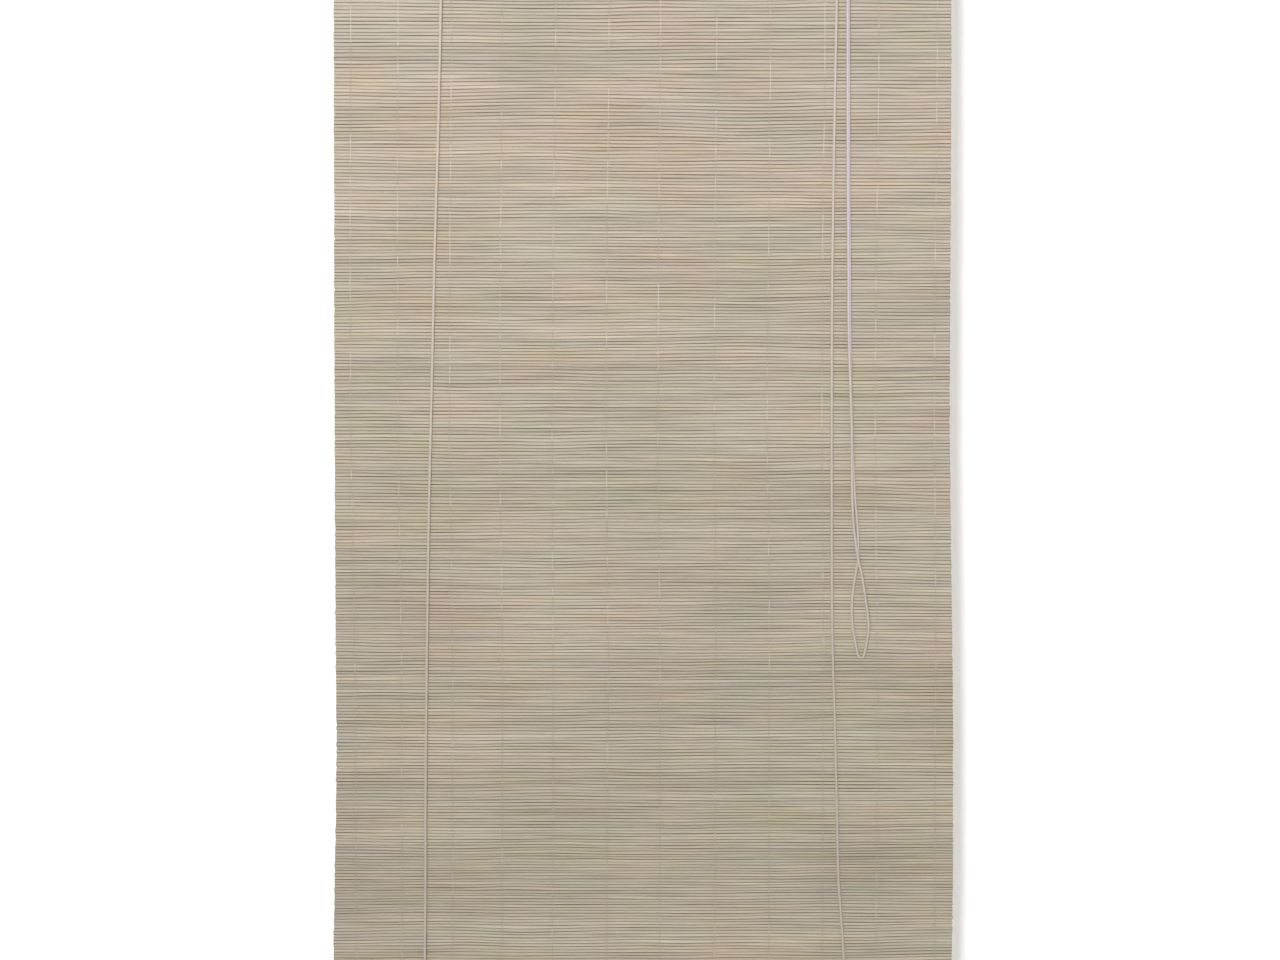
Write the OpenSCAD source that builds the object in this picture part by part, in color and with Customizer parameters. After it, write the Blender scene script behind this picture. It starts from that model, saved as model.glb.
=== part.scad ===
// Bamboo roll-up blind. Thin bamboo slats hang on cotton warp threads from a wooden head rail.
// Two lift cords run down behind the mat, round the bottom rod and up the front to a cord lock.
// The front faces -Y, the wall is the plane Y = 0, and the origin is midway between the hanger holes.

/* [Blind] */
// Width of the mat, the rails and the bottom rod
blind_w = 800; // [700:10:1200]
// Drop from the top of the head rail to the underside of the bottom rod
blind_drop = 1600; // [1200:10:2200]

/* [Mat] */
// Distance from one slat to the next, before it is evened out over the drop
slat_pitch = 4.2; // [3.6:0.1:5.6]
// Open gap between two slats
slat_gap = 0.3; // [0.2:0.05:0.5]
// Thickness of a slat
slat_t = 1.8; // [1.4:0.1:2.4]
// Bevel along the long edges of a slat
slat_bevel = 0.4; // [0.2:0.05:0.6]
// Width of a warp thread
warp_w = 1.2; // [0.8:0.1:1.6]
// Thickness of a warp thread on each face of the slats
warp_t = 0.4; // [0.3:0.05:0.6]
// Length of mat below the top of the rail that stays flat when the blind is rolled up
flat_len = 105; // [80:5:160]

/* [Head rail] */
// Height of the head rail and the front batten
rail_h = 30; // [26:1:45]
// Depth of the head rail
rail_d = 15; // [14:1:25]
// Thickness of the front batten that clamps the mat
batten_t = 5; // [4:0.5:8]

/* [Hangers] */
// Distance between the two hanger holes
hanger_spacing = 600; // [480:10:660]
// Diameter of a hanger hole
hanger_hole_d = 6.5; // [4.5:0.5:8]
// Height of the hanger holes above the head rail
hanger_rise = 10; // [8:1:16]
// Width of a hanger plate
plate_w = 22; // [18:1:30]
// Thickness of a hanger plate
plate_t = 2; // [1.8:0.2:3]

/* [Bottom rod] */
// Diameter of the bottom rod
rod_d = 12; // [10:1:18]

/* [Cords] */
// Diameter of the lift cords and the pull cord
cord_d = 3; // [2:0.25:3]

/* [Pulleys and lock] */
// Place of the left pulley's axle, from the middle of the blind
left_pulley_x = -253; // [-258:1:-235]
// Place of the cord lock's axle, from the middle of the blind
lock_x = 258.5; // [245:0.5:270]
// Radius at which the middle of a cord runs round a sheave
sheave_pitch_r = 7; // [6:0.5:9]
// Width of a sheave
sheave_w = 5; // [5:0.25:7]
// Diameter of the pulley axles and the cam pin
pin_d = 3; // [2.5:0.25:4]
// Thickness of the bracket steel
bracket_t = 1.2; // [1:0.1:2]

/* [Hidden] */
$fn = 48;

// Clearances
cut_over = 1;
run_gap = 0.05;
side_gap = 0.3;
seat_gap = 0.1;

// Levels and planes of the head rail and the mat
rail_top = -hanger_rise;
rail_bottom = rail_top - rail_h;
rail_back = -plate_t;
rail_front = rail_back - rail_d;
rail_mid = (rail_back + rail_front) / 2;
slat_back = rail_front - warp_t;
slat_front = slat_back - slat_t;
mat_front = slat_front - warp_t;
mat_mid = (slat_back + slat_front) / 2;
batten_front = mat_front - batten_t;

// Bottom rod, with the mat ending just above it
rod_r = rod_d / 2;
rod_z = rail_top - blind_drop + rod_r;
rod_seat_gap = 0.5;
mat_end = rod_z + rod_r + rod_seat_gap;
mat_len = rail_top - mat_end;

// Slats, evened out over the mat's length
slat_count = round(mat_len / slat_pitch);
slat_step = mat_len / slat_count;
slat_w = slat_step - slat_gap;
flat_slats = floor(flat_len / slat_step);
rolled_slats = slat_count - flat_slats;
clamp_slat = floor(rail_h / slat_step / 2);
function slat_z(i) = rail_top - slat_step * (2 * i + 1) / 2;
clamp_z = slat_z(clamp_slat);

// The rolled slats are grouped as the layers of the finished roll, each as long as the roll's chord there
core_share = 0.208;
layer_step_share = 0.087;
layers_per_side = 9;
side_shares = [for (i = [0 : layers_per_side - 1]) sqrt(1 - pow(core_share + i * layer_step_share, 2))];
core_chord_share = (1 - core_share) / 2;
back_shares = [for (i = [1 : layers_per_side]) side_shares[layers_per_side - i]];
band_shares = concat(back_shares, [core_chord_share, core_chord_share], side_shares);
band_count = len(band_shares);
function share_sum(n) = n == 0 ? 0 : share_sum(n - 1) + band_shares[n - 1];
function band_first(b) = flat_slats + round(rolled_slats * share_sum(b) / share_sum(band_count));

// Warp threads, as shares of the blind's width from its middle
warp_shares = [
    -0.475, -0.3975, -0.311, -0.229, -0.141, -0.055,
    0.029, 0.12, 0.205, 0.295, 0.3825, 0.476
];
warp_count = len(warp_shares);
function warp_x(i) = warp_shares[i] * blind_w;

// Screws and screw eyes
screw_r = 1.3;
screw_len = 17;
screw_head_r = 2.75;
sunk_head_h = 1.6;
pan_head_h = 1.8;
batten_screw_shares = [-0.43, -0.28, 0, 0.25, 0.43];
hanger_screw_r = 1.6;
hanger_screw_len = 13;
hanger_head_r = 3.2;
hanger_head_h = 1.7;
hanger_screw_shares = [0.27, 0.73];
plate_lift = 4;
eye_r = 3.5;
eye_wire_r = 1;
eye_depth = 14;
eye_gap = 0.5;
eye_z = rail_bottom - eye_gap - eye_r - eye_wire_r;
left_eye_x = -246;
right_eye_x = 239;

// Sheaves, brackets and the lock
pin_r = pin_d / 2;
pin_head_r = 2.75;
pin_head_t = 0.8;
flange_rise = 2;
flange_r = sheave_pitch_r + flange_rise;
groove_rim = 0.4;
groove_floor_half = 1.6;
cord_r = cord_d / 2;
groove_floor_r = sheave_pitch_r - cord_r - side_gap;
web_gap = 1;
sheave_clear = 2;
bracket_lip = 7;
bracket_skirt = 3.8;
bracket_half = 12;
bracket_screw_inset = 5;
lock_reach = 23;
web_top = rail_bottom - web_gap;
sheave_z = web_top - bracket_t - sheave_clear - flange_r;
bracket_top = clamp_z + bracket_lip;
bracket_bottom = sheave_z - flange_r - bracket_skirt;
cheek_back = batten_front - bracket_t;
pulley_space = sheave_w + 2 * side_gap;
lock_space = 2 * sheave_w + 3 * side_gap;
rear_sheave_y = cheek_back - side_gap - sheave_w / 2;
front_sheave_y = rear_sheave_y - sheave_w - side_gap;
bracket_screw_xs = [
    left_pulley_x - bracket_half + bracket_screw_inset,
    left_pulley_x + bracket_half - bracket_screw_inset,
    lock_x - bracket_half + bracket_screw_inset,
    lock_x + lock_reach - bracket_screw_inset
];
batten_screw_xs = [for (s = batten_screw_shares) s * blind_w];
clamp_xs = concat(batten_screw_xs, bracket_screw_xs);

// Lock cam, with a toothed nose that ends just short of the cords
cam_offset = 9.5;
cam_drop = 4.8;
cam_gap = 0.4;
cam_hub_r = 3.6;
cam_x = lock_x + sheave_pitch_r + cam_offset;
cam_z = sheave_z - cam_drop;
cam_nose = cam_offset - cord_r - cam_gap;
cam_w = lock_space - 2 * side_gap;
cam_outline_shares = [
    [0, 1], [-0.62, 0.62], [-0.9, 0.42], [-0.84, 0.2], [-1, 0.02],
    [-0.84, -0.14], [-0.9, -0.34], [-0.62, -0.45], [0, -1]
];
stop_far_share = 0.9;
stop_near_share = 0.62;
stop_low_share = 0.45;
stop_w = 4;

// Cord routes: the points between the rod and the sheaves, and the hanging pull cord from exit to exit
cord_sides = 8;
arc_steps = 6;
sling_r = rod_r + side_gap + cord_r;
cord_lead = 30;
left_sling_x = -283;
right_sling_x = 268;
left_run = [
    [-281.2, -22.4, -1380], [-280.4, -21.8, -1170], [-276.6, -21.8, -860], [-272.6, -21.8, -680],
    [-268.7, -22, -500], [-264.8, -22.5, -370], [-261, -24.5, -190]
];
right_run = [
    [260.5, -22.5, -1426], [254, -21.8, -1330], [251.5, -21.8, -1225], [249, -21.8, -1120],
    [246.5, -21.8, -1044], [245.4, -21.8, -966], [245.4, -21.8, -600], [247, -22.2, -450],
    [249.5, -23.5, -292], [251.3, -26, -190]
];
pull_run = [
    [265.5, -33.9, -66], [265.5, -33.6, -90], [265.2, -30, -190], [265.4, -26.5, -320],
    [265.8, -25.6, -430], [266.4, -25.6, -530], [267, -25.6, -630], [269, -25.6, -690],
    [270.6, -25.6, -745], [270.9, -25.6, -790], [271.2, -25.6, -830], [272.6, -25.6, -862],
    [275.2, -25.6, -888], [279, -25.7, -913], [283.2, -25.6, -931], [286.4, -25.4, -950],
    [289, -25.1, -968], [291.6, -24.8, -985], [292.6, -24.5, -1000], [291.2, -24.2, -1014],
    [288.8, -23.9, -1028], [287.2, -23.7, -1036], [285, -23.5, -1040.4], [281.2, -23.3, -1040.6],
    [278.8, -23.1, -1036.4], [276.2, -22.8, -1024], [272.8, -22.6, -1006], [271.2, -22.5, -988],
    [271.2, -22.4, -968], [273.2, -22.3, -949], [276.2, -22.3, -931], [279.2, -22.3, -913],
    [279, -22.3, -893], [278, -22.3, -866], [275.2, -22.3, -836], [272.8, -22.3, -790],
    [271.4, -22.3, -745], [270, -22.3, -690], [269, -22.3, -630], [268.4, -22.3, -530],
    [267.6, -22.6, -430], [267.2, -23.5, -320], [266.8, -26.2, -190], [265.8, -28.5, -90],
    [265.5, -28.6, -66]
];

// Colours
bamboo_tone = [0.72, 0.67, 0.58];
wood_tone = [0.74, 0.62, 0.45];
thread_tone = [0.88, 0.85, 0.78];
cord_tone = [0.92, 0.9, 0.88];
steel_tone = [0.7, 0.71, 0.72];
nylon_tone = [0.93, 0.93, 0.9];

function two_digits(n) = n < 10 ? str("0", n) : str(n);
function band_name(b) = str("slat_band_", two_digits(b + 1));
function warp_name(i) = str("warp_thread_", two_digits(i + 1));

// Shared shapes

// A round bar or bore along Y from one plane to another, further from the wall
module bar_y(x, z, r, near, far) {
    translate([x, near, z])
        rotate([90, 0, 0])
            cylinder(h = near - far, r = r);
}

// A box given by its lowest and highest corners
module block(low, high) {
    translate(low)
        cube(high - low);
}

function unit(v) = v / norm(v);
function heading(p, i) = unit(p[min(i + 1, len(p) - 1)] - p[max(i - 1, 0)]);
function ring(p, i, r) =
    let (t = heading(p, i), s = unit(cross(t, [0, 1, 0])), u = cross(s, t))
    [for (k = [0 : cord_sides - 1]) p[i] + r * (cos(360 * k / cord_sides) * s + sin(360 * k / cord_sides) * u)];
function side_faces(i) = [
    for (k = [0 : cord_sides - 1])
        let (n = (k + 1) % cord_sides, a = i * cord_sides, b = a + cord_sides)
        each [[a + k, b + k, b + n], [a + k, b + n, a + n]]
];

// A cord swept along its route's points
module tube(p, r) {
    last = (len(p) - 1) * cord_sides;
    polyhedron(
        points = [for (i = [0 : len(p) - 1]) each ring(p, i, r)],
        faces = concat(
            [[for (k = [0 : cord_sides - 1]) k]],
            [for (i = [0 : len(p) - 2]) each side_faces(i)],
            [[for (k = [1 : cord_sides]) last + cord_sides - k]]
        )
    );
}

// Points where a cord bends round a sheave, from one angle to another
function sheave_arc(x, y, from, to) = [
    for (k = [0 : arc_steps])
        let (a = from + (to - from) * k / arc_steps)
        [x + sheave_pitch_r * cos(a), y, sheave_z + sheave_pitch_r * sin(a)]
];

// The start of a cord's run beside the rod: face to face with its sling, then straight up
function run_start(x, y) = [[x, y, rod_z + seat_gap], [x, y, rod_z + cord_lead]];

// Head rail, batten and hangers

module sunk_screw(x, z, y, r, head_r, head_h, length) {
    translate([x, y, z])
        rotate([-90, 0, 0]) {
            cylinder(h = head_h, r1 = head_r, r2 = r);
            cylinder(h = length, r = r);
        }
}

module hanger_screw(x, s) {
    mirror([0, 1, 0])
        sunk_screw(x, rail_top - s * rail_h, 0, hanger_screw_r, hanger_head_r, hanger_head_h, hanger_screw_len);
}

module hanger_screw_bores(x) {
    for (s = hanger_screw_shares) {
        z = rail_top - s * rail_h;
        bar_y(x, z, hanger_screw_r + run_gap, cut_over, -hanger_screw_len - seat_gap);
        mirror([0, 1, 0])
            translate([x, 0, z])
                rotate([-90, 0, 0])
                    cylinder(h = hanger_head_h, r1 = hanger_head_r + run_gap, r2 = hanger_screw_r + run_gap);
    }
}

module clamp_bores(near, far) {
    for (x = clamp_xs)
        bar_y(x, clamp_z, screw_r + run_gap, near, far);
}

module head_rail() {
    color(wood_tone)
        difference() {
            block([-blind_w / 2, rail_front, rail_bottom], [blind_w / 2, rail_back, rail_top]);
            clamp_bores(batten_front + screw_len + seat_gap, rail_front - cut_over);
            for (side = [-1, 1])
                hanger_screw_bores(side * hanger_spacing / 2);
            for (x = [left_eye_x, right_eye_x])
                translate([x, rail_mid, rail_bottom - cut_over])
                    cylinder(h = cut_over + eye_depth + seat_gap, r = eye_wire_r + run_gap);
        }
}

module front_batten() {
    color(wood_tone)
        difference() {
            block([-blind_w / 2, batten_front, rail_bottom], [blind_w / 2, mat_front, rail_top]);
            clamp_bores(mat_front + cut_over, batten_front - cut_over);
            for (x = batten_screw_xs)
                translate([x, batten_front, clamp_z])
                    rotate([-90, 0, 0])
                        cylinder(h = sunk_head_h, r1 = screw_head_r + run_gap, r2 = screw_r + run_gap);
        }
}

module hanger_plate(x) {
    color(steel_tone)
        difference() {
            union() {
                bar_y(x, 0, plate_w / 2, 0, rail_back);
                block([x - plate_w / 2, rail_back, rail_bottom + plate_lift], [x + plate_w / 2, 0, 0]);
            }
            bar_y(x, 0, hanger_hole_d / 2, cut_over, rail_back - cut_over);
            hanger_screw_bores(x);
        }
}

module hanger_screws() {
    color(steel_tone)
        for (side = [-1, 1], s = hanger_screw_shares)
            hanger_screw(side * hanger_spacing / 2, s);
}

module batten_screws() {
    color(steel_tone)
        for (x = batten_screw_xs)
            sunk_screw(x, clamp_z, batten_front, screw_r, screw_head_r, sunk_head_h, screw_len);
}

module cord_eyes() {
    color(steel_tone)
        for (x = [left_eye_x, right_eye_x])
            translate([x, rail_mid, eye_z]) {
                rotate([90, 0, 0])
                    rotate_extrude()
                        translate([eye_r, 0])
                            circle(eye_wire_r);
                translate([0, 0, eye_r])
                    cylinder(h = rail_bottom + eye_depth - eye_z - eye_r, r = eye_wire_r);
            }
}

// Pulley, cord lock and cam

// A bent strap: a back plate on the batten, a web under it and a front cheek
module strap(low_x, high_x, space) {
    cheek_front = cheek_back - space - bracket_t;
    block([low_x, cheek_back, bracket_bottom], [high_x, batten_front, bracket_top]);
    block([low_x, cheek_front, web_top - bracket_t], [high_x, batten_front, web_top]);
    block([low_x, cheek_front, bracket_bottom], [high_x, cheek_front + bracket_t, web_top]);
}

module strap_bores(xs, space) {
    for (x = xs)
        bar_y(x, clamp_z, screw_r + run_gap, batten_front + cut_over, cheek_back - cut_over);
}

module pin_bore(x, z, space) {
    bar_y(x, z, pin_r + run_gap, batten_front + cut_over, cheek_back - space - bracket_t - cut_over);
}

// A headed pin through both cheeks of a strap
module strap_pin(x, z, space) {
    cheek_front = cheek_back - space - bracket_t;
    color(steel_tone) {
        bar_y(x, z, pin_r, batten_front, cheek_front);
        bar_y(x, z, pin_head_r, batten_front + pin_head_t, batten_front);
        bar_y(x, z, pin_head_r, cheek_front, cheek_front - pin_head_t);
    }
}

module sheave(x, y) {
    color(nylon_tone)
        translate([x, y, sheave_z])
            rotate([90, 0, 0])
                rotate_extrude()
                    polygon([
                        [pin_r + run_gap, -sheave_w / 2],
                        [flange_r, -sheave_w / 2],
                        [flange_r, groove_rim - sheave_w / 2],
                        [groove_floor_r, -groove_floor_half],
                        [groove_floor_r, groove_floor_half],
                        [flange_r, sheave_w / 2 - groove_rim],
                        [flange_r, sheave_w / 2],
                        [pin_r + run_gap, sheave_w / 2]
                    ]);
}

module left_pulley_bracket() {
    color(steel_tone)
        difference() {
            strap(left_pulley_x - bracket_half, left_pulley_x + bracket_half, pulley_space);
            strap_bores([bracket_screw_xs[0], bracket_screw_xs[1]], pulley_space);
            pin_bore(left_pulley_x, sheave_z, pulley_space);
        }
}

module lock_housing() {
    cheek_inside = cheek_back - lock_space;
    stop_top = cam_z - stop_low_share * cam_hub_r - side_gap;
    color(steel_tone)
        difference() {
            union() {
                strap(lock_x - bracket_half, lock_x + lock_reach, lock_space);
                block(
                    [cam_x - stop_far_share * cam_nose, cheek_inside, stop_top - bracket_t],
                    [cam_x - stop_near_share * cam_nose, cheek_inside + stop_w, stop_top]
                );
            }
            strap_bores([bracket_screw_xs[2], bracket_screw_xs[3]], lock_space);
            pin_bore(lock_x, sheave_z, lock_space);
            pin_bore(cam_x, cam_z, lock_space);
        }
}

module lock_cam() {
    color(steel_tone)
        difference() {
            union() {
                bar_y(cam_x, cam_z, cam_hub_r, cheek_back - side_gap, cheek_back - side_gap - cam_w);
                translate([cam_x, cheek_back - side_gap, cam_z])
                    rotate([90, 0, 0])
                        linear_extrude(cam_w)
                            polygon([for (p = cam_outline_shares) [p[0] * cam_nose, p[1] * cam_hub_r]]);
            }
            pin_bore(cam_x, cam_z, lock_space);
        }
}

module bracket_screws() {
    color(steel_tone)
        for (x = bracket_screw_xs) {
            bar_y(x, clamp_z, screw_r, cheek_back + screw_len, cheek_back);
            bar_y(x, clamp_z, screw_head_r, cheek_back, cheek_back - pan_head_h);
        }
}

// Slats and warp threads

module slat(i) {
    y = slat_t / 2;
    z = slat_w / 2;
    translate([0, mat_mid, slat_z(i)])
        rotate([90, 0, 90])
            translate([0, 0, -blind_w / 2])
                linear_extrude(blind_w)
                    polygon([
                        [-y, slat_bevel - z], [slat_bevel - y, -z], [y - slat_bevel, -z], [y, slat_bevel - z],
                        [y, z - slat_bevel], [y - slat_bevel, z], [slat_bevel - y, z], [-y, z - slat_bevel]
                    ]);
}

module top_slats() {
    color(bamboo_tone)
        for (i = [0 : flat_slats - 1])
            if (i == clamp_slat)
                difference() {
                    slat(i);
                    clamp_bores(slat_back + cut_over, slat_front - cut_over);
                }
            else
                slat(i);
}

module slat_band(b) {
    color(bamboo_tone)
        for (i = [band_first(b) : band_first(b + 1) - 1])
            slat(i);
}

module warp_thread(i) {
    x = warp_x(i) - warp_w / 2;
    color(thread_tone)
        for (y = [slat_back, mat_front])
            block([x, y, mat_end], [x + warp_w, y + warp_t, rail_top]);
}

// Bottom rod and cords

module bottom_rod() {
    color(wood_tone)
        translate([-blind_w / 2, mat_mid, rod_z])
            rotate([0, 90, 0])
                cylinder(h = blind_w, r = rod_r);
}

module rod_lashings() {
    color(thread_tone)
        for (i = [0 : warp_count - 1])
            translate([warp_x(i) - warp_w / 2, mat_mid, rod_z])
                rotate([0, 90, 0])
                    difference() {
                        cylinder(h = warp_w, r = rod_r + run_gap + warp_t);
                        translate([0, 0, -cut_over])
                            cylinder(h = warp_w + 2 * cut_over, r = rod_r + run_gap);
                    }
}

module cord_sling(x) {
    color(cord_tone)
        translate([x, mat_mid, rod_z])
            rotate([-90, 0, 90])
                rotate_extrude(angle = 180)
                    translate([sling_r, 0])
                        circle(cord_r);
}

module cord_tail(eye_x, sling_x) {
    y = mat_mid + sling_r;
    top = [eye_x, rail_mid, eye_z - eye_r - eye_wire_r - seat_gap];
    color(cord_tone)
        tube(concat(run_start(sling_x, y), [top]), cord_r);
}

module left_lift_cord() {
    color(cord_tone)
        tube(
            concat(
                run_start(left_sling_x, mat_mid - sling_r),
                left_run,
                sheave_arc(left_pulley_x, rear_sheave_y, 180, 90),
                sheave_arc(lock_x, rear_sheave_y, 90, 0),
                [[lock_x + sheave_pitch_r, rear_sheave_y, bracket_bottom + seat_gap]]
            ),
            cord_r
        );
}

module right_lift_cord() {
    color(cord_tone)
        tube(
            concat(
                run_start(right_sling_x, mat_mid - sling_r),
                right_run,
                sheave_arc(lock_x, front_sheave_y, 180, 0),
                [[lock_x + sheave_pitch_r, front_sheave_y, bracket_bottom + seat_gap]]
            ),
            cord_r
        );
}

module pull_cord() {
    color(cord_tone)
        tube(pull_run, cord_r);
}

head_rail();
front_batten();
hanger_plate(-hanger_spacing / 2);  // left_hanger_plate
hanger_plate(hanger_spacing / 2);  // right_hanger_plate
hanger_screws();
batten_screws();
left_pulley_bracket();
sheave(left_pulley_x, rear_sheave_y);  // left_sheave
strap_pin(left_pulley_x, sheave_z, pulley_space);  // left_axle
lock_housing();
sheave(lock_x, rear_sheave_y);  // lock_rear_sheave
sheave(lock_x, front_sheave_y);  // lock_front_sheave
strap_pin(lock_x, sheave_z, lock_space);  // lock_axle
lock_cam();
strap_pin(cam_x, cam_z, lock_space);  // lock_cam_pin
bracket_screws();
cord_eyes();
left_lift_cord();
right_lift_cord();
cord_tail(left_eye_x, left_sling_x);  // left_cord_tail
cord_tail(right_eye_x, right_sling_x);  // right_cord_tail
cord_sling(left_sling_x);  // left_cord_sling
cord_sling(right_sling_x);  // right_cord_sling
pull_cord();
bottom_rod();
rod_lashings();
top_slats();
for (b = [0 : band_count - 1])
    slat_band(b);
for (i = [0 : warp_count - 1])
    warp_thread(i);
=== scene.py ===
import math

import bpy
import numpy as np
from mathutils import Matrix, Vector


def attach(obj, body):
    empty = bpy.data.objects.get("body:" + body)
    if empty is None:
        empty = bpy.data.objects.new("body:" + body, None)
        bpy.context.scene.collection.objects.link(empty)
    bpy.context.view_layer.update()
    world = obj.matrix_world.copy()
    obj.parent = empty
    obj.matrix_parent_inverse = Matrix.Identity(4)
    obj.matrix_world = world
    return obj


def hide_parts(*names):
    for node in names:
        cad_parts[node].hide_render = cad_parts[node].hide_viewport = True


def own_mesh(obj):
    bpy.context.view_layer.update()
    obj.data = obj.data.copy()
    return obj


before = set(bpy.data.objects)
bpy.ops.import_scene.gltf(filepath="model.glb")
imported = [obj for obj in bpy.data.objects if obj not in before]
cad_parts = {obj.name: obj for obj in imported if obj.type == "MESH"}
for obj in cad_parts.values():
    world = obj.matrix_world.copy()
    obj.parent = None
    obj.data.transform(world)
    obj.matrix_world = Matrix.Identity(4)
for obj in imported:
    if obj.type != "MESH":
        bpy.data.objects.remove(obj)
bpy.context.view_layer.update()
MM = 0.001
PX = 1.2955  # mm of the mat for each px of the photograph
MAT_TOP_PX = -138  # level of the mat's top, above the photograph's upper edge
MAT_BOTTOM_PX = 1088  # level of its lower end, below the photograph's lower edge
SIDES_MIDDLE_PX = 642.05  # X = 0 across the photograph, for the mat's sides
WARP_MIDDLE_PX = 642.2  # the same for the warp threads

# Sizes in mm that follow the CAD part
BLIND_W = 800.0
RAIL_TOP = -10.0
MAT_LEN = 1587.5
SLATS = 378
SLAT_STEP = MAT_LEN / SLATS
FLAT_SLATS = 25
MAT_MID = -18.3
SLAT_T = 1.8
ROD_Z = -1604.0
ROD_R = 6.0
BRAID_R = 1.65  # a little more than the CAD cord, over the strands of the braid
SLING_R = 7.8
LEFT_SLING_X = -283.0
RIGHT_SLING_X = 268.0
LEFT_PULLEY_X = -253.0
LOCK_X = 258.5
SHEAVE_Z = -53.2
PITCH_R = 7.0
REAR_Y = -28.6
FRONT_Y = -33.9
RUN_TOP_Z = -62.0
EXIT_Z = -65.9
LEFT_EYE_X = -246.0
RIGHT_EYE_X = 239.0
EYE_Y = -9.5
EYE_Z = -45.0
EYE_R = 3.5


def new_object(name, data):
    obj = bpy.data.objects.new(name, data)
    bpy.context.scene.collection.objects.link(obj)
    return obj


# Camera: flat front view, 1280 px of the photograph span 1658 mm at the front of the mat
LENS_MM = 100
SENSOR_MM = 36
CAMERA_AT = (-0.0033, -4.6255, -0.8106)
cam_data = bpy.data.cameras.new("camera")
cam_data.lens = LENS_MM
cam_data.sensor_width = SENSOR_MM
cam_data.sensor_fit = "HORIZONTAL"
camera = new_object("camera", cam_data)
camera.location = CAMERA_AT
camera.rotation_euler = (math.radians(90), 0, 0)
bpy.context.scene.camera = camera
bpy.context.scene.view_settings.view_transform = "Standard"


# Node helpers

NOISE_LOW = 0.3  # most values of a noise texture lie between these two
NOISE_HIGH = 0.7


def new_material(name):
    material = bpy.data.materials.new(name)
    material.use_nodes = True
    tree = material.node_tree
    return material, tree, tree.nodes["Principled BSDF"]


def link(tree, output, socket):
    tree.links.new(output, socket)


def add(tree, kind, **values):
    node = tree.nodes.new(kind)
    for key, value in values.items():
        setattr(node, key, value)
    return node


def combine(tree, operation, first, second):
    node = add(tree, "ShaderNodeMath", operation=operation)
    link(tree, first, node.inputs[0])
    link(tree, second, node.inputs[1])
    return node.outputs[0]


def noise(tree, stretch, detail, rough):
    """Noise in the piece's own frame. Stretch is its scale along X, Y and Z, for each metre."""
    place = add(tree, "ShaderNodeTexCoord")
    mapping = add(tree, "ShaderNodeMapping")
    mapping.inputs["Scale"].default_value = stretch
    link(tree, place.outputs["Object"], mapping.inputs["Vector"])
    node = add(tree, "ShaderNodeTexNoise")
    node.inputs["Scale"].default_value = 1
    node.inputs["Detail"].default_value = detail
    node.inputs["Roughness"].default_value = rough
    link(tree, mapping.outputs["Vector"], node.inputs["Vector"])
    return node.outputs["Fac"]


def remap(tree, value, low, high, from_low=NOISE_LOW, from_high=NOISE_HIGH):
    node = add(tree, "ShaderNodeMapRange")
    node.inputs["From Min"].default_value = from_low
    node.inputs["From Max"].default_value = from_high
    node.inputs["To Min"].default_value = low
    node.inputs["To Max"].default_value = high
    link(tree, value, node.inputs["Value"])
    return node.outputs["Result"]


def ramp(tree, value, stops):
    node = add(tree, "ShaderNodeValToRGB")
    for element, (position, colour) in zip(node.color_ramp.elements, stops):
        element.position = position
        element.color = (*colour, 1)
    link(tree, value, node.inputs["Fac"])
    return node.outputs["Color"]


def tone_of(tree):
    return add(tree, "ShaderNodeAttribute", attribute_name="tone").outputs["Color"]


def scaled(tree, colour, factor):
    node = add(tree, "ShaderNodeVectorMath", operation="SCALE")
    link(tree, colour, node.inputs[0])
    link(tree, factor, node.inputs["Scale"])
    return node.outputs["Vector"]


def bump(tree, height, distance, strength):
    node = add(tree, "ShaderNodeBump")
    node.inputs["Distance"].default_value = distance
    node.inputs["Strength"].default_value = strength
    link(tree, height, node.inputs["Height"])
    return node.outputs["Normal"]


def seen(tree):
    """One for the rays that show the background: straight from the camera, mirrored or through glass."""
    rays = add(tree, "ShaderNodeLightPath").outputs
    total = rays["Is Camera Ray"]
    for kind in ("Is Glossy Ray", "Is Transmission Ray"):
        total = combine(tree, "MAXIMUM", total, rays[kind])
    return total


# Materials

def bamboo_material():
    material, tree, shader = new_material("bamboo")
    fibre = noise(tree, stretch=(6, 900, 1500), detail=4, rough=0.6)
    streak = noise(tree, stretch=(22, 300, 520), detail=2, rough=0.5)
    fibre_shade = remap(tree, fibre, low=0.9, high=1.1)
    streak_shade = remap(tree, streak, low=0.93, high=1.07)
    shade = combine(tree, "MULTIPLY", fibre_shade, streak_shade)
    link(tree, scaled(tree, tone_of(tree), shade), shader.inputs["Base Color"])
    shader.inputs["Roughness"].default_value = 0.62
    shader.inputs["Specular IOR Level"].default_value = 0.3
    link(tree, bump(tree, fibre, distance=0.00012, strength=0.6), shader.inputs["Normal"])
    return material


def thread_material():
    material, tree, shader = new_material("thread")
    ply = noise(tree, stretch=(1500, 1500, 2600), detail=2, rough=0.5)
    shade = remap(tree, ply, low=0.86, high=1.1)
    link(tree, scaled(tree, tone_of(tree), shade), shader.inputs["Base Color"])
    shader.inputs["Roughness"].default_value = 0.9
    shader.inputs["Specular IOR Level"].default_value = 0.15
    link(tree, bump(tree, ply, distance=0.0001, strength=0.7), shader.inputs["Normal"])
    return material


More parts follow.
